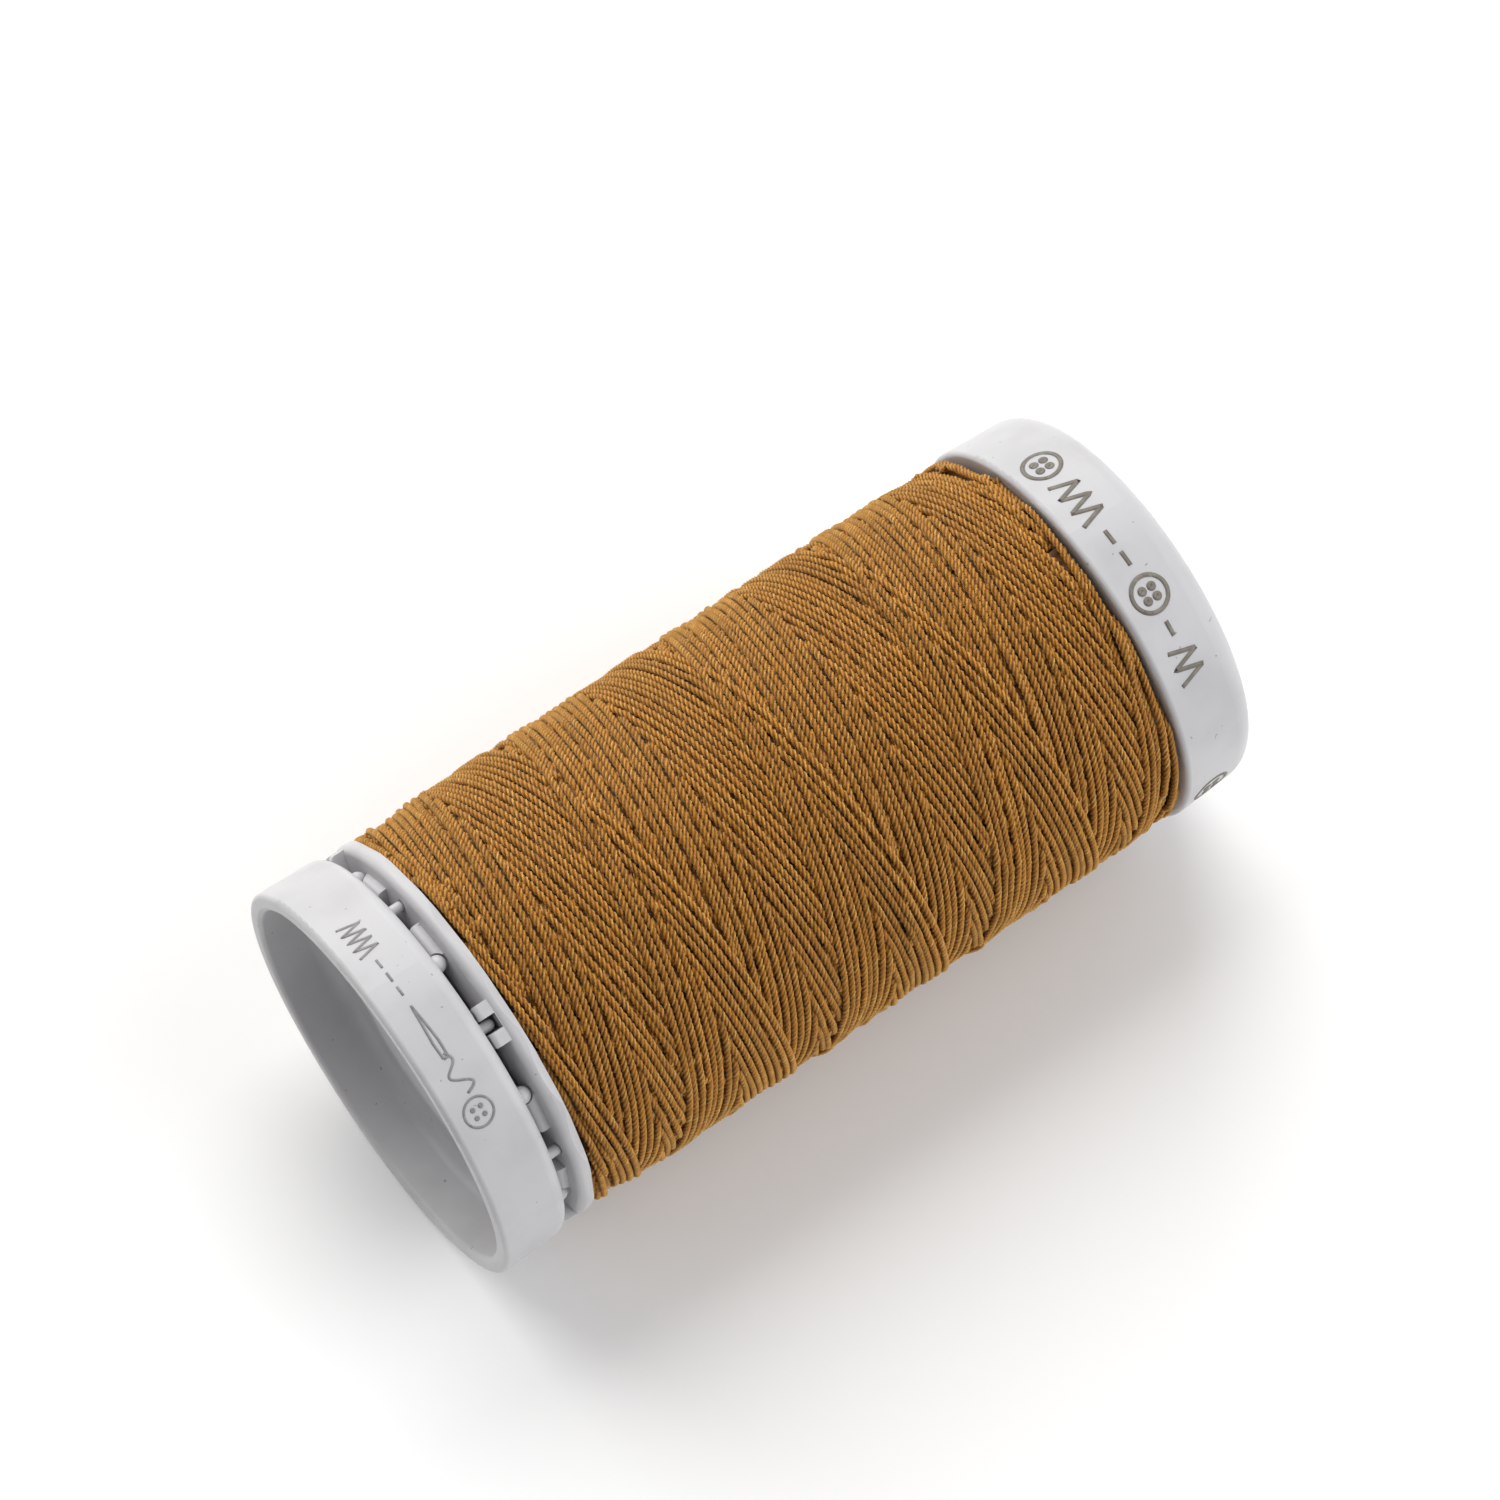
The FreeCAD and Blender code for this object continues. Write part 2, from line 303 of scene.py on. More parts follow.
@dataclass(frozen=True)
class MouldedPlastic:
    """Satin white plastic with a faint moulding ripple, rubbed patches and a few specks."""

    name: str = "white_moulded_plastic"
    colour: tuple = rgb(191, 190, 192)
    rubbed: tuple = rgb(184, 183, 185)
    speck: tuple = rgb(120, 112, 104)
    roughness: float = 0.34
    cloud_scale: float = 260.0
    ripple_scale: float = 2600.0
    scuff_scale: tuple = (500.0, 2600.0, 2600.0)
    dust_scale: float = 3300.0
    speck_level: float = 0.845
    speck_edge: float = 0.012
    bump_depth: float = 0.00001

    def material(self) -> bpy.types.Material:
        """The finished material."""
        bench = ShaderBench(self.name)
        place = bench.place()
        clouds = bench.noise(place, self.cloud_scale, 3.0)
        ripple = bench.noise(place, self.ripple_scale, 2.0)
        scuff = bench.noise(bench.stretched(place, self.scuff_scale), 1.0, 3.0)
        dust = bench.noise(place, self.dust_scale, 0.0)
        specks = dust.above(self.speck_level, self.speck_edge)
        tone = bench.mixed(clouds.above(0.42, 0.3), self.colour, self.rubbed)
        colour = bench.mixed(specks * 0.55, tone, self.speck)
        roughness = self.roughness + clouds * 0.12 + scuff.above(0.55, 0.2) * 0.08
        height = ripple * 0.6 + scuff * 0.4
        return bench.finish({
            "Base Color": colour,
            "Roughness": roughness,
            "Normal": bench.bumped(height, self.bump_depth, 0.22),
            "Subsurface Weight": 0.12,
            "Subsurface Radius": (0.0012, 0.0011, 0.001),
            "Subsurface Scale": 1.0,
            "IOR": 1.49,
        })


@dataclass(frozen=True)
class PolyesterThread:
    """Three-ply polyester: golden brown, with painted shade between the plies, painted highlights on
    their crests and fine fibres along them.
    """

    name: str = "golden_brown_thread"
    painted_groove_shade_and_dark_tone: tuple = rgb(72, 38, 5)
    body: tuple = rgb(210, 141, 45)
    painted_crest_highlight: tuple = rgb(255, 224, 136)
    roughness: float = 0.56
    patch_scale: float = 420.0
    fibre_depth: float = 0.00003

    def material(self) -> bpy.types.Material:
        """The finished material."""
        bench = ShaderBench(self.name)
        ridge = bench.attribute("ply_ridge").signal("Fac")
        tone = bench.attribute("strand_tone").signal("Fac")
        fibres = bench.noise(bench.attribute("fibre").out("Vector"), 1.0, 3.0)
        patches = bench.noise(bench.place(), self.patch_scale, 2.0)
        # Painted shade: the grooves between the plies are darkened towards the groove shade colour, and
        # fine fibre streaks darken it a little more.
        shading = 0.22 + ridge.above(0.0, 0.8) * 0.78
        low = bench.mixed(shading - (1 - fibres.above(0.3, 0.25)) * 0.3, self.painted_groove_shade_and_dark_tone, self.body)
        # Painted highlight: glints of the highlight colour on the ply crests where the fibre noise is
        # high.
        painted_glint = (fibres.above(0.46, 0.3) * ridge.above(0.35, 0.65)) * 0.75
        with_painted_glint = bench.mixed(painted_glint, low, self.painted_crest_highlight)
        # Random strand tone and patches; darker strands are mixed towards the same dark colour, as their
        # own tone.
        shade = 0.62 + tone * 0.38 + (patches - 0.5) * 0.3
        colour = bench.mixed(shade, bench.mixed(0.55, with_painted_glint, self.painted_groove_shade_and_dark_tone), with_painted_glint)
        return bench.finish({
            "Base Color": colour,
            "Roughness": self.roughness + fibres * 0.16,
            "Normal": bench.bumped(fibres, self.fibre_depth, 0.5),
            "Specular IOR Level": 0.32,
            "Sheen Weight": 0.62,
            "Sheen Roughness": 0.4,
            "Sheen Tint": rgb(255, 216, 150),
            "IOR": 1.5,
        })


@dataclass(frozen=True)
class PrintedInk:
    """Grey-brown pad-printed ink, a little uneven and worn thin in places."""

    name: str
    colour: tuple
    worn: tuple
    patch_scale: float = 1500.0
    bump_depth: float = 0.000004

    def material(self) -> bpy.types.Material:
        """The finished material."""
        bench = ShaderBench(self.name)
        patches = bench.noise(bench.place(), self.patch_scale, 3.0)
        colour = bench.mixed(patches.above(0.4, 0.3), self.colour, self.worn)
        return bench.finish({
            "Base Color": colour,
            "Roughness": 0.45 + patches * 0.2,
            "Normal": bench.bumped(patches, self.bump_depth, 0.3),
        })


@dataclass(frozen=True)
class LabelPaper:
    """Uncoated paper with a printed ring in the thread's colour."""

    name: str = "label_paper_printed"
    paper: tuple = rgb(214, 211, 202)
    aged: tuple = rgb(206, 200, 186)
    ring: tuple = rgb(158, 102, 44)
    ring_inner: float = 0.0082
    ring_outer: float = 0.0092
    ring_edge: float = 0.00004
    fibre_scale: float = 5200.0
    fibre_depth: float = 0.00002

    def material(self, centre: Vector) -> bpy.types.Material:
        """The finished material, with its ring about the spool's axis.

        Args:
            centre: a point on the spool's axis.

        Returns:
            The finished material.
        """
        bench = ShaderBench(self.name)
        place = bench.place()
        values = {0: place, 1: tuple(centre)}
        across = bench.node("ShaderNodeVectorMath", {"operation": "SUBTRACT"}, values).out()
        values = {0: bench.stretched(across, (0.0, 1.0, 1.0))}
        distance = bench.node("ShaderNodeVectorMath", {"operation": "LENGTH"}, values).signal("Value")
        fibres = bench.noise(place, self.fibre_scale, 4.0)
        inside = distance.above(self.ring_inner, self.ring_edge)
        outside = distance.above(self.ring_outer, self.ring_edge)
        band = inside - outside
        stock = bench.mixed(fibres.above(0.4, 0.3) * 0.3, self.paper, self.aged)
        return bench.finish({
            "Base Color": bench.mixed(band * 0.9, stock, self.ring),
            "Roughness": 0.7 + fibres * 0.15,
            "Normal": bench.bumped(fibres, self.fibre_depth, 0.35),
        })


@dataclass(frozen=True)
class WhiteTable:
    """The matt white surface under the spool."""

    name: str = "white_table"
    colour: tuple = (0.96, 0.96, 0.955, 1.0)
    grain: tuple = (0.91, 0.91, 0.91, 1.0)
    grain_scale: float = 900.0
    grain_depth: float = 0.00002

    def material(self) -> bpy.types.Material:
        """The finished material."""
        bench = ShaderBench(self.name)
        grain = bench.noise(bench.place(), self.grain_scale, 3.0)
        return bench.finish({
            "Base Color": bench.mixed(grain * 0.15, self.colour, self.grain),
            "Roughness": 0.55,
            "Normal": bench.bumped(grain, self.grain_depth, 0.1),
        })


# ---- Mesh helpers ---------------------------------------------------------------------------


def tube_quads(rows: int, around: int, closed: bool = False) -> np.ndarray:
    """The faces of a tube whose points come ring by ring.

    Args:
        rows: how many rings of points it has.
        around: how many points each ring has.
        closed: whether the last ring joins the first.

    Returns:
        Rows of four point numbers.
    """
    row = np.arange(rows if closed else rows - 1)[:, None]
    column = np.arange(around)[None, :]
    here = row * around
    after = (row + 1) % rows * around
    turned = (column + 1) % around
    return np.stack([here + column, here + turned, after + turned, after + column], -1).reshape(-1, 4)


def new_mesh(name: str, points: np.ndarray, quads: np.ndarray,
             triangles: np.ndarray = NO_TRIANGLES) -> bpy.types.Object:
    """Makes a smooth-shaded mesh object.

    Args:
        name: the piece's name.
        points: rows of x, y, z in millimetres.
        quads: rows of four point numbers.
        triangles: rows of three point numbers.

    Returns:
        The object, linked to the scene.
    """
    mesh = bpy.data.meshes.new(name)
    sizes = np.concatenate([np.full(len(quads), 4), np.full(len(triangles), 3)])
    corners = np.concatenate([np.asarray(quads).ravel(), np.asarray(triangles).ravel()])
    mesh.vertices.add(len(points))
    mesh.vertices.foreach_set("co", (np.asarray(points) * MM).astype(np.float32).ravel())
    mesh.loops.add(len(corners))
    mesh.loops.foreach_set("vertex_index", corners.astype(np.int32))
    mesh.polygons.add(len(sizes))
    starts = np.concatenate([[0], np.cumsum(sizes)[:-1]])
    mesh.polygons.foreach_set("loop_start", starts.astype(np.int32))
    mesh.polygons.foreach_set("use_smooth", np.ones(len(sizes), bool))
    mesh.update(calc_edges=True)
    mesh.validate()
    piece = bpy.data.objects.new(name, mesh)
    bpy.context.scene.collection.objects.link(piece)
    return piece


def add_attribute(piece: bpy.types.Object, name: str, values: np.ndarray) -> None:
    """Stores something for each point of a mesh.

    Args:
        piece: the mesh object.
        name: the attribute's name.
        values: one number, or one vector, for each point.
    """
    values = np.asarray(values, np.float32)
    if values.ndim == 1:
        piece.data.attributes.new(name, "FLOAT", "POINT").data.foreach_set("value", values)
    else:
        layer = piece.data.attributes.new(name, "FLOAT_VECTOR", "POINT")
        layer.data.foreach_set("vector", values.ravel())


def fit(piece: bpy.types.Object, body: Body, finish: bpy.types.Material,
        stands_for: tuple = ()) -> None:
    """Dresses a piece, hangs it on its body and reports it.

    Args:
        piece: the piece.
        body: the body that it rides on.
        finish: its material.
        stands_for: the CAD nodes that it replaces.
    """
    piece.data.materials.clear()
    piece.data.materials.append(finish)
    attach(piece, body.value)
    for node in stands_for:
        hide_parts(node.value)
    log.info("%s: %d faces on %s", piece.name, len(piece.data.polygons), body.value)


# ---- The spool's own frame --------------------------------------------------------------------


@dataclass(frozen=True)
class SpoolFrame:
    """Stations along the spool and angles round it, in millimetres and radians."""

    foot_end: float
    length: float
    axis_height: float

    @classmethod
    def from_cad(cls) -> "SpoolFrame":
        """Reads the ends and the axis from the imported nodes."""
        foot_low, foot_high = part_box(Node.FOOT.value)
        _, head_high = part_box(Node.HEAD.value)
        height = (foot_low.z + foot_high.z) / 2
        return cls(foot_low.x / MM, (head_high.x - foot_low.x) / MM, height / MM)

    def point(self, station: np.ndarray, radius: np.ndarray, angle: np.ndarray) -> np.ndarray:
        """Points in the row frame.

        Args:
            station: distances from the foot's rim.
            radius: distances from the axis.
            angle: angles round the axis, from +Y towards +Z.

        Returns:
            Rows of x, y, z in millimetres.
        """
        station, radius, angle = np.broadcast_arrays(station, radius, angle)
        across = radius * np.cos(angle)
        up = self.axis_height + radius * np.sin(angle)
        return np.stack([self.foot_end + station, across, up], axis=-1)


# ---- Thread -------------------------------------------------------------------------------------


@dataclass(frozen=True)
class Strand:
    """One stretch of thread: where its centre line runs, and its shade."""

    station: np.ndarray
    radius: np.ndarray
    angle: np.ndarray
    run_length: np.ndarray
    tone: float


@dataclass(frozen=True)
class Tube:
    """A strand's mesh: its points, its faces, and what its material reads at each point."""

    points: np.ndarray
    quads: np.ndarray
    triangles: np.ndarray
    ridge: np.ndarray
    tone: np.ndarray
    fibre: np.ndarray


@dataclass
class StrandMill:
    """Turns centre lines into closed, twisted three-ply tubes."""

    spool: SpoolFrame
    crest_radius: float = 0.218
    groove_radius: float = 0.162
    plies: int = 3
    twist_length: float = 1.2
    twist_wander: float = 0.5
    wander_length: float = 4.3
    step: float = 0.15
    phase_per_tone: float = 40
    fibre_along: float = 1.5
    fibre_round: float = 2.2
    fibre_per_tone: float = 50

    def resampled(self, strand: Strand) -> Strand:
        """The same strand with points a step apart.

        Args:
            strand: the strand as it was laid.

        Returns:
            The strand with its new points.
        """
        span = strand.run_length[-1] - strand.run_length[0]
        count = max(3, int(round(span / self.step)) + 1)
        run = np.linspace(strand.run_length[0], strand.run_length[-1], count)
        station = np.interp(run, strand.run_length, strand.station)
        radius = np.interp(run, strand.run_length, strand.radius)
        angle = np.interp(run, strand.run_length, strand.angle)
        return Strand(station, radius, angle, run, strand.tone)

    def tube(self, strand: Strand) -> Tube:
        """One strand as a tube.

        Args:
            strand: the strand, with points a step apart.

        Returns:
            Its mesh.
        """
        count = len(strand.station)
        around = 2 * self.plies
        is_crest = (np.arange(around) % 2 == 0).astype(float)
        centres = self.spool.point(strand.station, strand.radius, strand.angle)
        rings = self._rings(strand, centres, is_crest)
        points = np.concatenate([rings.reshape(-1, 3), centres[:1], centres[-1:]])
        # These rings run the other way round, so the faces are turned over.
        quads = tube_quads(count, around)[:, [0, 3, 2, 1]]
        # 1 on a crest and 0 in a groove: the material paints shade in the grooves and highlights on the
        #                                 crests from it.
        ridge = np.concatenate([np.tile(is_crest, count), [0.0, 0.0]])
        tone = np.full(len(points), strand.tone)
        along = np.repeat(strand.run_length * self.fibre_along, around)
        round_about = np.tile(np.arange(around) * self.fibre_round, count)
        fibre = np.stack([along, round_about, np.full_like(along, strand.tone * self.fibre_per_tone)], 1)
        fibre = np.concatenate([fibre, fibre[:1], fibre[-1:]])
        return Tube(points, quads, self._caps(count, around), ridge, tone, fibre)

    def _rings(self, strand: Strand, centres: np.ndarray, is_crest: np.ndarray) -> np.ndarray:
        """The rings of points round a strand.

        Args:
            strand: the strand.
            centres: the points of its centre line.
            is_crest: 1 for a ring's point on the crest of a ply, and 0 for one in a groove.

        Returns:
            The points, one row of them for each ring.
        """
        around = len(is_crest)
        tangent = np.gradient(centres, axis=0)
        tangent /= np.linalg.norm(tangent, axis=1)[:, None]
        outward = np.stack([np.zeros_like(strand.angle), np.cos(strand.angle), np.sin(strand.angle)], 1)
        side = np.cross(tangent, outward)
        side /= np.linalg.norm(side, axis=1)[:, None]
        outward = np.cross(side, tangent)
        phase = strand.tone * self.phase_per_tone
        wander = self.twist_wander * np.sin(strand.run_length / self.wander_length + phase)
        spin = strand.run_length / self.twist_length * TURN + wander + phase
        turn = spin[:, None] + np.arange(around)[None, :] * TURN / around
        reach = np.where(is_crest > 0, self.crest_radius, self.groove_radius)
        ring = np.cos(turn)[..., None] * outward[:, None] + np.sin(turn)[..., None] * side[:, None]
        return centres[:, None] + ring * reach[None, :, None]

    def _caps(self, count: int, around: int) -> np.ndarray:
        """The two fans of triangles that close a tube.

        Args:
            count: how many rings it has.
            around: how many points each ring has.

        Returns:
            The triangles, which use two centre points that follow the rings.
        """
        here = np.arange(around)
        after = (here + 1) % around
        first = count * around
        end_row = first - around
        start_cap = np.stack([np.full(around, first), here, after], 1)
        end_cap = np.stack([np.full(around, first + 1), end_row + after, end_row + here], 1)
        return np.concatenate([start_cap, end_cap])

    def piece(self, name: str, strands: list[Strand]) -> bpy.types.Object:
        """Several strands as one mesh.

        Args:
            name: the piece's name.
            strands: its strands.

        Returns:
            The mesh object with its thread attributes.
        """
        tubes = [self.tube(self.resampled(strand)) for strand in strands]
        offsets = np.cumsum([0] + [len(tube.points) for tube in tubes[:-1]])
        points = np.concatenate([tube.points for tube in tubes])
        quads = np.concatenate([tube.quads + offset for tube, offset in zip(tubes, offsets)])
        triangles = np.concatenate([tube.triangles + offset for tube, offset in zip(tubes, offsets)])
        made = new_mesh(name, points, quads, triangles)
        add_attribute(made, "ply_ridge", np.concatenate([tube.ridge for tube in tubes]))
        add_attribute(made, "strand_tone", np.concatenate([tube.tone for tube in tubes]))
        add_attribute(made, "fibre", np.concatenate([tube.fibre for tube in tubes]))
        return made


@dataclass(frozen=True)
class Stroke:
    """One pass of the thread guide: the strand that it lays, and the field cells under that."""

    station: np.ndarray
    radius: np.ndarray
    angle: np.ndarray
    row: np.ndarray
    column: np.ndarray


@dataclass
class ThreadWinding:
    """The wound thread, laid stroke by stroke over a height field that grows as it is covered."""

    spool: SpoolFrame
    mill: StrandMill
    thread_radius: float = 0.194
    base_radius: float = 11.0
    laid_depth: float = 1.2
    sample: float = 0.1
    seed: int = 7
    # The cells of the height field, along the spool and round it.
    cell: float = 0.08
    around_cells: int = 780
    # The path of the thread guide, and how far each strand strays from it.
    pitch: float = 0.43
    turns_per_cycle: float = 8.0
    cycles: int = 50
    last_strand_station: float = 28.0
    turnaround: float = 0.16
    end_gap: float = 0.02
    end_scatter: float = 0.36
    end_share: float = 0.2
    stroke_scatter: float = 0.03
    wander: float = 0.045
    wander_samples: int = 45
    # How a strand beds into the thread under it and bridges the hollows.
    embed: float = 0.045
    bridging_samples: int = 13
    easing_reach: int = 8
    easing_width: float = 3.2
    # How the winding is pressed to its outer shape.
    settle_width: float = 0.9
    end_settle_width: float = 0.28
    end_zone: float = 1.0
    end_zone_fade: float = 2.0
    relief: float = 0.56
    shoulder: float = 5.0
    shoulder_drop: float = 0.4
    crest_below_skin: float = 0.2
    proud_limit: float = 0.03
    # Which stretches are made, and how far they run on under the thread that covers them.
    cover_slack: float = 0.02
    seen_samples: int = 35
    trimmed_samples: int = 23
    shortest_samples: int = 8
    piece_faces: int = 150000
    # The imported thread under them.
    core_depth: float = 0.16
    core_inner_radius: float = 5.75
    core_rows: int = 260
    core_columns: int = 164
    core_cells: int = 4
    core_fibre_scale: float = 2.0

    def __post_init__(self) -> None:
        """Reads the winding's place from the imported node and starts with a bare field."""
        low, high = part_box(Node.WINDING.value)
        self.start = low.x / MM - self.spool.foot_end
        self.end = high.x / MM - self.spool.foot_end
        self.full_radius = (high.z - low.z) / 2 / MM
        self.random = np.random.default_rng(self.seed)
        self.along_cells = int((self.end - self.start) / self.cell) + 1
        self.field = np.full((self.around_cells, self.along_cells), self.base_radius)
        self.reach = int(self.thread_radius / self.cell)
        self.shifts = np.arange(-self.reach, self.reach + 1)
        self.dome = np.sqrt(np.maximum(self.thread_radius ** 2 - (self.shifts * self.cell) ** 2, 0))
        self.strokes = []

    def lay(self) -> None:
        """Lays every stroke in order."""
        margin = self.thread_radius + self.end_gap
        half = (self.end - self.start) / 2 - margin
        middle = (self.start + self.end) / 2
        # A cycle falls a little short of a whole number of turns, so the next one lands a pitch away.
        lead = 4 * half / self.turns_per_cycle
        turns = self.turns_per_cycle - self.pitch / lead
        reach = (self.last_strand_station - middle + half) / lead
        start_angle = FACING_ANGLE - TURN * (reach + turns * (self.cycles - 1))
        angle_step = self.sample / (self.base_radius + self.laid_depth)
        count = int(turns * TURN / 2 / angle_step)
        for stroke in range(2 * self.cycles):
            travel = Travel.TO_HEAD if stroke % 2 == 0 else Travel.TO_FOOT
            share = np.linspace(0, 1, count)
            angle = start_angle + (stroke + share) * turns * TURN / 2
            swing = self._swing(share, turns) * travel.value
            inset_start = self.random.random() ** 2 * self.end_scatter
            inset_end = self.random.random() ** 2 * self.end_scatter
            inset = np.where(share < 0.5, inset_start, inset_end)
            edge = np.clip((np.abs(swing) - (1 - self.end_share)) / self.end_share, 0, 1) ** 2
            offset = self._wander(count) + self.random.normal(0, self.stroke_scatter)
            station = middle + swing * half - np.sign(swing) * inset * edge + offset
            station = np.clip(station, self.start + margin, self.end - margin)
            self._lay_stroke(station, angle)

    def _swing(self, share: np.ndarray, turns: float) -> np.ndarray:
        """The guide's place over one stroke, rounded off where it turns back.

        Args:
            share: how much of the stroke is done, from 0 to 1.
            turns: turns of the spool in a cycle of two strokes.

        Returns:
            Places from -1 to 1.
        """
        rounding = 2 * self.turnaround / (turns / 2)
        plain = 2 * share - 1
        excess = np.clip((np.abs(plain) - (1 - rounding)) / rounding, 0, 1)
        rounded = np.abs(plain) - rounding * excess ** 2 / 2
        return np.sign(plain) * rounded / (1 - rounding / 2)

    def _wander(self, count: int) -> np.ndarray:
        """A slow sideways wander of the strand.

        Args:
            count: how many points the strand has.

        Returns:
            Its offsets, in millimetres.
        """
        knots = self.random.normal(0, self.wander, count // self.wander_samples + 3)
        return np.interp(np.linspace(0, len(knots) - 1, count), np.arange(len(knots)), knots)

    def _lay_stroke(self, station: np.ndarray, angle: np.ndarray) -> None:
        """Rests one stroke on the field, pulled taut, and adds it to the field.

        Args:
            station: how far along the spool each of its points is.
            angle: the angle of each round the spool.
        """
        row = (angle / TURN * self.around_cells).astype(int) % self.around_cells
        column = np.round((station - self.start) / self.cell).astype(int)
        column = np.clip(column, self.reach, self.along_cells - 1 - self.reach)
        cells = list(zip(self.shifts, self.dome))
        under = np.stack([self.field[row, column + shift] + rise for shift, rise in cells[1:-1]])
        radius = self._taut(under.max(axis=0) - self.embed)
        for shift, rise in cells:
            for nudge in (0, 1):
                spot = ((row + nudge) % self.around_cells, column + shift)
                np.maximum.at(self.field, spot, radius + rise)
        self.strokes.append(Stroke(station, radius, angle, row, column))

    def _taut(self, bearing: np.ndarray) -> np.ndarray:
        """The strand pulled taut, so that it bridges the hollows under it.

        Args:
            bearing: the heights that it would rest at if it were limp.

        Returns:
            Its heights.
        """
        window = self.bridging_samples
        pad = window // 2
        raised = self._sliding(np.pad(bearing, pad, mode="edge"), window).max(axis=1)
        closed = self._sliding(np.pad(raised, pad, mode="edge"), window).min(axis=1)
        reach = self.easing_reach
        kernel = np.exp(-0.5 * (np.arange(-reach, reach + 1) / self.easing_width) ** 2)
        kernel /= kernel.sum()
        return np.convolve(np.pad(closed, reach, mode="edge"), kernel, mode="valid")

    def _sliding(self, values: np.ndarray, window: int) -> np.ndarray:
        """Every window of neighbouring values."""
        return np.lib.stride_tricks.sliding_window_view(values, window)

    def settle(self) -> None:
        """Presses the winding to its outer shape and leaves the relief of its strands."""
        station = self.start + np.arange(self.along_cells) * self.cell
        to_end = np.minimum(station - self.start, self.end - station)
        fullness = 1 - (1 - np.clip(to_end / self.shoulder, 0, 1)) ** 2
        profile = self.full_radius - self.crest_below_skin - self.shoulder_drop * (1 - fullness)
        broad = self._blurred(self.settle_width, self.settle_width)
        narrow = self._blurred(3 * self.settle_width, self.end_settle_width)
        nearness = 1 - np.clip((to_end - self.end_zone) / self.end_zone_fade, 0, 1)
        smooth = broad + (narrow - broad) * nearness
        relief = (self.field - smooth) * self.relief
        shift = profile + relief - self.field
        self.field = self.field + shift
        limit = profile + self.crest_below_skin + self.proud_limit - self.thread_radius
        for number, stroke in enumerate(self.strokes):
            pressed = stroke.radius + shift[stroke.row, stroke.column]
            self.strokes[number] = replace(stroke, radius=np.minimum(pressed, limit[stroke.column]))

    def _blurred(self, round_width: float, along_width: float) -> np.ndarray:
        """The height field smoothed over the cells that hold thread.

        Args:
            round_width: how far to smooth round the spool.
            along_width: how far to smooth along it.

        Returns:
            The smoothed field.
        """
        held = np.zeros(self.along_cells)
        held[self.reach + 1:-self.reach - 1] = 1
        round_step = TURN * self.base_radius / self.around_cells
        waves = np.fft.rfftfreq(self.around_cells, round_step)
        keep = np.exp(-2 * (math.pi * waves * round_width) ** 2)[:, None]
        turned = np.fft.irfft(np.fft.rfft(self.field, axis=0) * keep, self.around_cells, axis=0)
        # A bell curve is next to nothing beyond three widths.
        reach = int(3 * along_width / self.cell)
        total = np.zeros_like(self.field)
        weight_total = np.zeros(self.along_cells)
        padded = np.pad(turned * held, ((0, 0), (reach, reach)))
        held_padded = np.pad(held, reach)
        for offset in range(-reach, reach + 1):
            weight = math.exp(-0.5 * (offset * self.cell / along_width) ** 2)
            first = reach + offset
            total += weight * padded[:, first:first + self.along_cells]
            weight_total += weight * held_padded[first:first + self.along_cells]
        return total / np.maximum(weight_total, 1e-9)

    def visible_strands(self) -> list[Strand]:
        """The stretches of thread that nothing later covers.

        Returns:
            The strands, grown a little at each hidden end.
        """
        strands = []
        middle = list(zip(self.shifts, self.dome))[self.reach - 1:self.reach + 2]
        for stroke in self.strokes:
            seen = np.zeros(len(stroke.row), bool)
            for shift, rise in middle:
                top = self.field[stroke.row, stroke.column + shift]
                seen |= top <= stroke.radius + rise + self.cover_slack
            near = np.convolve(seen.astype(float), np.ones(self.seen_samples), mode="same") > 0
            hidden = np.convolve((~near).astype(float), np.ones(self.trimmed_samples), mode="same")
            grown = (hidden < 0.5).astype(int)
            run = np.arange(len(grown)) * self.sample
            edges = np.flatnonzero(np.diff(np.concatenate([[0], grown, [0]])))
            for first, last in zip(edges[::2], edges[1::2]):
                if last - first < self.shortest_samples:
                    continue
                part = slice(first, last)
                tone = float(self.random.random())
                strands.append(Strand(
                    stroke.station[part], stroke.radius[part], stroke.angle[part], run[part], tone
                ))
        return strands

    def build(self) -> list[bpy.types.Object]:
        """Lays the thread and makes its meshes.

        Returns:
            The pieces of thread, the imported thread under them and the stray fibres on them.
        """
        self.lay()
        self.settle()
        strands = self.visible_strands()
        batches = self._batches(strands)
        length = sum(len(strand.station) for strand in strands) * self.sample * MM
        log.info("thread: %d stretches, %.1f m visible, %d pieces", len(strands), length, len(batches))
        pieces = []
        for number, batch in enumerate(batches, 1):
            pieces.append(self.mill.piece(f"thread_turns_{number:02d}", batch))
        pieces.append(self.packed_core())
        pieces.append(StrayFibres(self.spool).build(strands))
        return pieces

    def _batches(self, strands: list[Strand]) -> list[list[Strand]]:
        """Shares the strands out among pieces of a limited number of faces.

        Args:
            strands: all the strands.

        Returns:
            A list of strands for each piece.
        """
        faces_each = 4 * self.mill.plies / self.mill.step * self.sample
        batches = [[]]
        total = 0.0
        for strand in strands:
            faces = len(strand.station) * faces_each
            if total + faces > self.piece_faces:
                batches.append([])
                total = 0.0
            batches[-1].append(strand)
            total += faces
        return batches

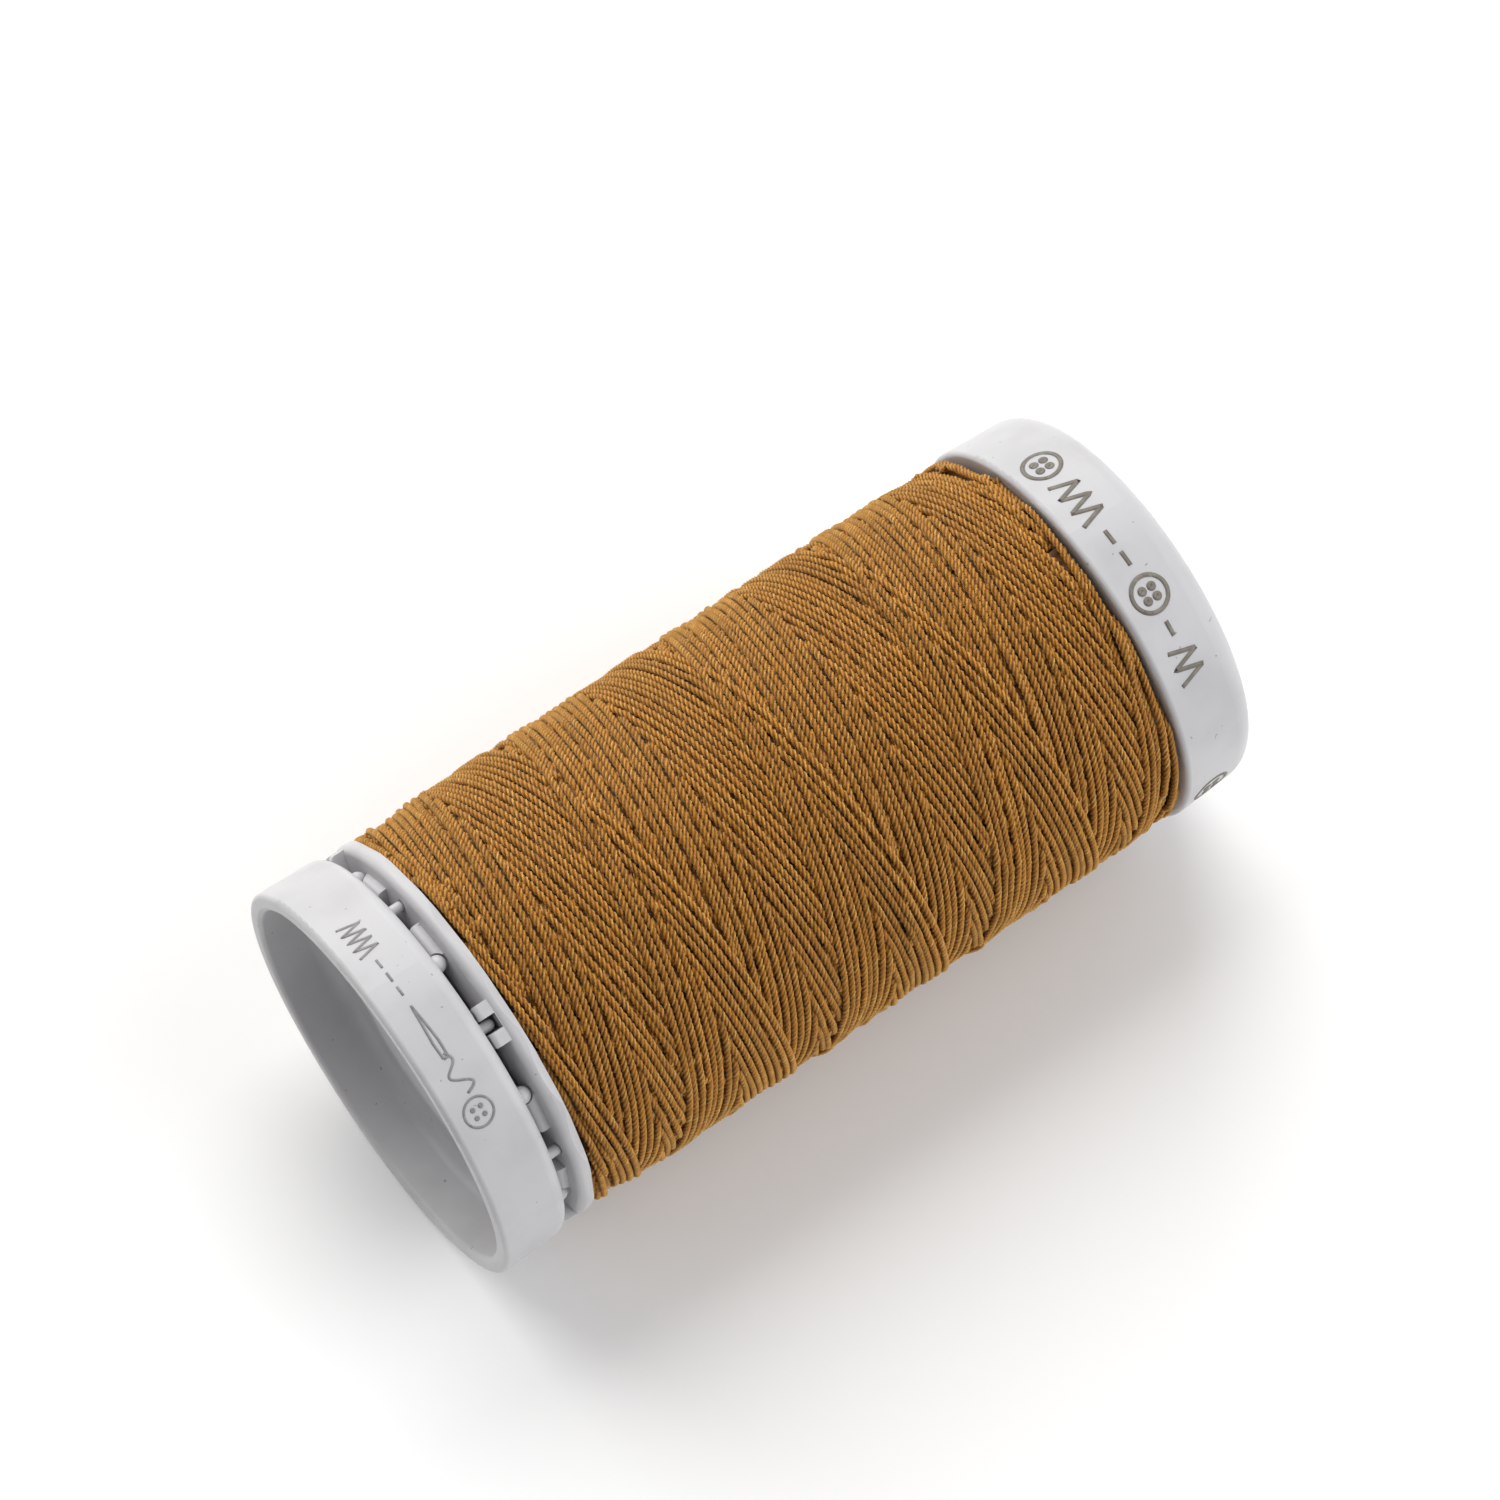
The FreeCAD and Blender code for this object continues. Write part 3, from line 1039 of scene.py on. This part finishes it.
    def packed_core(self) -> bpy.types.Object:
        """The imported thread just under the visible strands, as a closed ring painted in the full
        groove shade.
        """
        rows, columns = self.core_rows, self.core_columns
        pick_row = (np.arange(rows) * self.around_cells / rows).astype(int)
        pick_column = np.linspace(0, self.along_cells - 1, columns).astype(int)
        low = self.field.copy()
        for shift in range(1, self.core_cells + 1):
            low = np.minimum(low, np.roll(self.field, shift, axis=0))
            low = np.minimum(low, np.roll(self.field, -shift, axis=0))
            low[:, shift:] = np.minimum(low[:, shift:], self.field[:, :-shift])
            low[:, :-shift] = np.minimum(low[:, :-shift], self.field[:, shift:])
        outer = low[np.ix_(pick_row, pick_column)] - self.core_depth
        inner = np.full((rows, 2), self.core_inner_radius)
        radius = np.concatenate([outer, inner], axis=1)
        station = np.concatenate([np.linspace(self.start, self.end, columns), [self.end, self.start]])
        angle = np.arange(rows) * TURN / rows
        points = self.spool.point(station[None, :], radius, angle[:, None]).reshape(-1, 3)
        quads = tube_quads(rows, len(station), closed=True)
        made = new_mesh("thread_packed_core", points, quads)
        # A ridge of 0 everywhere: the whole core gets the painted groove shade, dark under the strands.
        add_attribute(made, "ply_ridge", np.zeros(len(points)))
        add_attribute(made, "strand_tone", np.zeros(len(points)))
        add_attribute(made, "fibre", points * self.core_fibre_scale)
        return made


@dataclass
class StrayFibres:
    """Short broken fibres that stand a little off the wound thread."""

    spool: SpoolFrame
    count: int = 320
    fibre_radius: float = 0.007
    tip_share: float = 0.4
    joints: int = 7
    sides: int = 3
    shortest: float = 0.2
    longest: float = 0.6
    lift: tuple = (0.3, 0.7)
    spread: float = 0.6
    curl: tuple = (0.1, 0.5)
    never_along: tuple = (0.31, 0.17, 0.93)
    tone: float = 0.9
    seed: int = 11

    def build(self, strands: list[Strand]) -> bpy.types.Object:
        """Makes the fibres.

        Args:
            strands: the visible stretches of thread that they grow from.

        Returns:
            All the fibres as one mesh.
        """
        random = np.random.default_rng(self.seed)
        fibre_points = self.joints * self.sides
        last = fibre_points - self.sides
        quads = tube_quads(self.joints, self.sides)
        triangles = np.array([(2, 1, 0), (last, last + 1, last + 2)])
        all_points = []
        for _ in range(self.count):
            centres = self._route(strands[random.integers(len(strands))], random)
            all_points.append(self._rings(centres))
        points = np.concatenate(all_points)
        offsets = np.arange(self.count)[:, None, None] * fibre_points
        all_quads = (offsets + quads).reshape(-1, 4)
        all_triangles = (offsets + triangles).reshape(-1, 3)
        made = new_mesh("stray_fibres", points, all_quads, all_triangles)
        # A ridge of 1: no painted groove shade, and painted glints where the fibre noise is high.
        add_attribute(made, "ply_ridge", np.ones(len(points)))
        add_attribute(made, "strand_tone", np.full(len(points), self.tone))
        add_attribute(made, "fibre", points)
        return made

    def _rings(self, centres: np.ndarray) -> np.ndarray:
        """The points round one fibre, which is thinner at its tip.

        Args:
            centres: the points of its centre line.

        Returns:
            The points, ring by ring.
        """
        turn = np.arange(self.sides) * TURN / self.sides
        along = centres[-1] - centres[0]
        side = np.cross(along, self.never_along)
        side /= np.linalg.norm(side)
        other = np.cross(along / np.linalg.norm(along), side)
        ring = np.cos(turn)[:, None] * side + np.sin(turn)[:, None] * other
        taper = np.linspace(1.0, self.tip_share, self.joints)[:, None, None] * self.fibre_radius
        return (centres[:, None] + ring[None] * taper).reshape(-1, 3)

    def _route(self, strand: Strand, random: np.random.Generator) -> np.ndarray:
        """One fibre's bent centre line, from inside its strand outwards.

        Args:
            strand: the strand that it grows from.
            random: where its shape is drawn from.

        Returns:
            The points of the centre line.
        """
        spot = random.integers(len(strand.station))
        angle = strand.angle[spot]
        root = self.spool.point(strand.station[spot], strand.radius[spot], angle)
        outward = np.array([0.0, math.cos(angle), math.sin(angle)])
        heading = outward * random.uniform(*self.lift) + random.normal(0, self.spread, 3)
        heading /= np.linalg.norm(heading)
        curl = np.cross(heading, random.normal(0, 1, 3)) * random.uniform(*self.curl)
        share = np.linspace(0, 1, self.joints)[:, None]
        length = random.uniform(self.shortest, self.longest)
        return root + length * (heading * share + curl * share ** 2)


@dataclass
class ThreadTail:
    """The thread's end: over the flange, into the groove and in between two lands."""

    spool: SpoolFrame
    mill: StrandMill
    winding_top: float = 12.05
    groove_radius: float = 12.15
    groove_station: float = 4.83
    rim_radius: float = 12.33
    samples: int = 260
    easing_samples: int = 25
    tone: float = 0.6

    def build(self) -> bpy.types.Object:
        """Makes the tail along its route of angles in degrees, stations and radii."""
        knots = np.array([
            (352.0, 7.4, self.winding_top),
            (347.0, 6.7, self.rim_radius),
            (342.0, 5.7, self.rim_radius),
            (337.0, 4.95, self.rim_radius - 0.06),
            (330.0, self.groove_station, self.groove_radius),
            (300.0, self.groove_station, self.groove_radius),
            (268.0, self.groove_station, self.groove_radius),
            (262.0, 4.95, 11.9),
            (257.0, 5.0, 11.2),
        ])
        share = np.linspace(0, 1, self.samples)
        at = np.linspace(0, 1, len(knots))
        angle = np.radians(np.interp(share, at, knots[:, 0]))
        station = self._eased(np.interp(share, at, knots[:, 1]))
        radius = self._eased(np.interp(share, at, knots[:, 2]))
        centres = self.spool.point(station, radius, angle)
        run = np.concatenate([[0], np.cumsum(np.linalg.norm(np.diff(centres, axis=0), axis=1))])
        return self.mill.piece("thread_locked_end", [Strand(station, radius, angle, run, self.tone)])

    def _eased(self, values: np.ndarray) -> np.ndarray:
        """Rounds the corners of a route.

        Args:
            values: the stations or the radii along it.

        Returns:
            The same values, smoothed.
        """
        kernel = np.hanning(self.easing_samples)
        kernel /= kernel.sum()
        padded = np.pad(values, self.easing_samples // 2, mode="edge")
        return np.convolve(padded, kernel, mode="valid")


# ---- Print ----------------------------------------------------------------------------------------


@dataclass
class PrintBand:
    """A row of sewing motifs in thin ink on one rim.

    Places and lengths are millimetres round and across the rim. A motif's sizes are shares of the
    band's half height, and the shoulder, start and length in a needle are shares of the needle's
    length, except where a name says otherwise.
    """

    spool: SpoolFrame
    name: str
    start_radius: float
    end_radius: float
    start_station: float
    end_station: float
    middle_station: float
    middle_angle: float
    half_height: float
    line_width: float
    sink: float = 0.012
    rise: float = 0.014
    spacing: float = 0.16
    ring_points: int = 28
    button_size: float = 0.92
    hole_place: float = 0.27
    hole_size_in_lines: float = 0.55
    zigzag_size: float = 0.72
    stitch_repeat_in_stitches: float = 1.6
    needle_size: float = 0.2
    needle_shoulder: float = 0.7
    eye_size_in_needles: float = 0.8
    wave_start: float = 0.92
    wave_length: float = 0.75
    wave_size: float = 0.75
    wave_start_size: float = 0.25
    waves: float = 1.5
    wave_points: int = 40

    def __post_init__(self) -> None:
        """Starts with no ink."""
        self.points = []
        self.quads = []

    def _rim_radius(self, station: np.ndarray) -> np.ndarray:
        """The rim's radius at a station, between its two ends."""
        share = (station - self.start_station) / (self.end_station - self.start_station)
        return self.start_radius + (self.end_radius - self.start_radius) * share

    def line(self, route: np.ndarray, closed: bool = False) -> None:
        """Inks one line as a thin closed strip.

        Args:
            route: rows of places round and across the band.
            closed: whether the line's end joins its start.
        """
        route = np.asarray(route, float)
        if closed:
            route = np.concatenate([route, route[:1]])
        steps = np.linalg.norm(np.diff(route, axis=0), axis=1)
        run = np.concatenate([[0], np.cumsum(steps)])
        count = max(2, int(run[-1] / self.spacing) + 1)
        at = np.union1d(np.linspace(0, run[-1], count), run)
        path = np.stack([np.interp(at, run, route[:, 0]), np.interp(at, run, route[:, 1])], 1)
        if closed:
            path = path[:-1]
            along = np.roll(path, -1, axis=0) - np.roll(path, 1, axis=0)
        else:
            along = np.gradient(path, axis=0)
        along /= np.linalg.norm(along, axis=1)[:, None]
        across = np.stack([-along[:, 1], along[:, 0]], 1) * self.line_width / 2
        corners = []
        for side, height in ((1, -self.sink), (1, self.rise), (-1, self.rise), (-1, -self.sink)):
            place = path + side * across
            station = self.middle_station + place[:, 1]
            radius = self._rim_radius(station)
            angle = self.middle_angle + place[:, 0] / self.start_radius
            corners.append(self.spool.point(station, radius + height, angle))
        first = sum(len(batch) for batch in self.points)
        self.points.append(np.stack(corners, 1).reshape(-1, 3))
        self.quads.append(first + tube_quads(len(path), len(corners), closed))
        if not closed:
            last = first + (len(path) - 1) * len(corners)
            ends = [(first + 3, first + 2, first + 1, first), (last, last + 1, last + 2, last + 3)]
            self.quads.append(np.array(ends))

    def ring(self, place: float, across: float, radius: float) -> None:
        """Inks a circle.

        Args:
            place: where its middle is round the rim.
            across: where that is across the rim.
            radius: its radius.
        """
        turn = np.linspace(0, TURN, self.ring_points, endpoint=False)
        self.line(np.stack([place + radius * np.cos(turn), across + radius * np.sin(turn)], 1), True)

    def button(self, place: float) -> None:
        """Inks a button: its edge and four holes.

        Args:
            place: where its middle is round the rim.
        """
        self.ring(place, 0, self.half_height * self.button_size)
        hole = self.half_height * self.hole_place
        for side in (-1, 1):
            for row in (-1, 1):
                self.ring(place + side * hole, row * hole, self.line_width * self.hole_size_in_lines)

    def zigzag(self, start: float, teeth: int, pitch: float) -> None:
        """Inks a zigzag stitch.

        Args:
            start: where it starts round the rim.
            teeth: how many teeth it has.
            pitch: the distance between two teeth.
        """
        corner = np.arange(2 * teeth + 1)
        heights = np.where(corner % 2 == 0, -1, 1) * self.half_height * self.zigzag_size
        self.line(np.stack([start + corner * pitch / 2, heights], 1))

    def running(self, start: float, count: int, stitch: float) -> None:
        """Inks a running stitch: dashes in a row.

        Args:
            start: where it starts round the rim.
            count: how many stitches it has.
            stitch: the length of one.
        """
        for index in range(count):
            place = start + index * stitch * self.stitch_repeat_in_stitches
            self.line([(place, 0), (place + stitch, 0)])

    def needle(self, start: float, length: float) -> None:
        """Inks a needle that widens from its point to its eye, and a wavy thread.

        Args:
            start: where its point is round the rim.
            length: how long it is.
        """
        half = self.half_height * self.needle_size
        eye = half * self.eye_size_in_needles
        shoulder = start + length * self.needle_shoulder
        end = start + length
        for side in (1, -1):
            self.line([(start, 0), (shoulder, side * half), (end, side * eye)])
        self.line([(end, eye), (end, -eye)])
        share = np.linspace(0, 1, self.wave_points)
        height = self.half_height * self.wave_size * np.sin(share * self.waves * TURN)
        height = height * (self.wave_start_size + (1 - self.wave_start_size) * share)
        places = start + length * self.wave_start + share * length * self.wave_length
        self.line(np.stack([places, height], 1))

    def piece(self) -> bpy.types.Object:
        """All the ink so far as one mesh."""
        return new_mesh(self.name, np.concatenate(self.points), np.concatenate(self.quads))


@dataclass
class RimPrints:
    """The print on the foot's rim and on the head."""

    spool: SpoolFrame

    def foot(self) -> bpy.types.Object:
        """Fine grey stitches and a needle on the foot."""
        band = PrintBand(
            self.spool, "foot_print", start_radius=12.5, end_radius=12.35, start_station=0.0,
            end_station=4.4, middle_station=1.78, middle_angle=FACING_ANGLE, half_height=0.95,
            line_width=0.15,
        )
        band.zigzag(-8.9, 4, 0.62)
        band.running(-5.9, 3, 0.62)
        band.needle(-2.6, 3.4)
        band.button(4.3)
        return band.piece()

    def head(self) -> bpy.types.Object:
        """Bold grey-brown buttons and stitches on the head."""
        length = self.spool.length
        band = PrintBand(
            self.spool, "head_print", start_radius=12.35, end_radius=12.05, start_station=length - 5.3,
            end_station=length, middle_station=length - 3.25, middle_angle=FACING_ANGLE,
            half_height=1.2, line_width=0.27,
        )
        band.button(-9.4)
        band.zigzag(-7.6, 3, 1.1)
        band.running(-3.5, 2, 0.95)
        band.button(0.9)
        band.running(2.7, 1, 0.95)
        band.zigzag(4.4, 2, 1.1)
        band.button(16.9)
        return band.piece()


# ---- Camera, light and table --------------------------------------------------------------------


@dataclass(frozen=True)
class Viewpoint:
    """Where the camera stands and what it aims at."""

    aim: tuple = (0.0026, 0.0045, 0.0125)
    azimuth: float = math.radians(-36.1)
    elevation: float = math.radians(64.2)
    distance: float = 0.3413
    lens: float = 144.0
    sensor: float = 36.0

    def build(self) -> None:
        """Makes the camera and gives it to the scene."""
        flat = math.cos(self.elevation)
        down = math.sin(self.elevation)
        look = Vector((-math.sin(self.azimuth) * flat, math.cos(self.azimuth) * flat, -down))
        data = bpy.data.cameras.new("camera")
        data.lens = self.lens
        data.sensor_width = self.sensor
        data.clip_start = 0.01
        camera = bpy.data.objects.new("camera", data)
        camera.location = Vector(self.aim) - look * self.distance
        camera.rotation_euler = look.to_track_quat("-Z", "Y").to_euler()
        bpy.context.scene.collection.objects.link(camera)
        bpy.context.scene.camera = camera


@dataclass(frozen=True)
class SoftBox:
    """One square area light, aimed at the spool."""

    name: str
    place: tuple
    side: float
    power: float
    colour: tuple = (1.0, 1.0, 1.0)

    def build(self, aim: Vector) -> None:
        """Makes the light.

        Args:
            aim: the point that it faces.
        """
        data = bpy.data.lights.new(self.name, "AREA")
        data.shape = "SQUARE"
        data.size = self.side
        data.energy = self.power
        data.color = self.colour
        lamp = bpy.data.objects.new(self.name, data)
        lamp.location = Vector(self.place)
        lamp.rotation_euler = (aim - lamp.location).to_track_quat("-Z", "Y").to_euler()
        bpy.context.scene.collection.objects.link(lamp)


@dataclass
class Studio:
    """The white table, the pale surroundings and the soft lights."""

    table_side: float = 3.0
    aim: tuple = (0.0, 0.0, 0.0125)
    sky: tuple = (0.97, 0.98, 1.0, 1.0)
    sky_strength: float = 0.27
    boxes: tuple = (
        SoftBox("window_softbox", (0.08, 0.62, 0.56), 1.1, 10.6, (1.0, 0.99, 0.97)),
        SoftBox("ceiling_softbox", (0.1, 0.05, 0.9), 0.8, 0.45, (0.98, 0.99, 1.0)),
        SoftBox("side_softbox", (0.45, -0.5, 0.42), 0.8, 4.8, (0.98, 0.99, 1.0)),
    )

    def build(self) -> None:
        """Makes the table and the lights."""
        half = self.table_side / 2 / MM
        corners = np.array([(-half, -half, 0), (half, -half, 0), (half, half, 0), (-half, half, 0)])
        table = new_mesh("table_top", corners, np.array([[0, 1, 2, 3]]))
        table.data.materials.append(WhiteTable().material())
        for box in self.boxes:
            box.build(Vector(self.aim))
        world = bpy.data.worlds.new("pale_room")
        world.use_nodes = True
        background = world.node_tree.nodes["Background"]
        background.inputs["Color"].default_value = self.sky
        background.inputs["Strength"].default_value = self.sky_strength
        bpy.context.scene.world = world
        bpy.context.scene.view_settings.view_transform = "Standard"


# ---- Putting it together ------------------------------------------------------------------------


def dress_mouldings() -> None:
    """Gives the CAD mouldings and the label their finishes, and reports each."""
    plastic = MouldedPlastic().material()
    low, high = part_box(Node.LABEL.value)
    paper = LabelPaper().material((low + high) / 2)
    for node in (Node.BARREL, Node.FOOT, Node.HEAD, Node.LABEL):
        finish = paper if node is Node.LABEL else plastic
        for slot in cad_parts[node.value].material_slots:
            slot.material = finish
        log.info("%s: %s", node.value, finish.name)


def main() -> None:
    """Builds every sub-assembly in order and reports each piece."""
    Viewpoint().build()
    Studio().build()
    dress_mouldings()
    spool = SpoolFrame.from_cad()
    mill = StrandMill(spool)
    thread = PolyesterThread().material()
    for piece in ThreadWinding(spool, mill).build():
        fit(piece, Body.SPOOL, thread, (Node.WINDING,))
    fit(ThreadTail(spool, mill).build(), Body.SPOOL, thread, (Node.TAIL,))
    prints = RimPrints(spool)
    fine_ink = PrintedInk("fine_grey_ink", rgb(130, 127, 128), rgb(146, 144, 146)).material()
    bold_ink = PrintedInk("bold_grey_ink", rgb(110, 104, 94), rgb(126, 121, 112)).material()
    fit(prints.foot(), Body.FOOT, fine_ink)
    fit(prints.head(), Body.SPOOL, bold_ink)


if __name__ == "__main__":
    logging.basicConfig(level=logging.INFO, format="%(message)s")
    main()
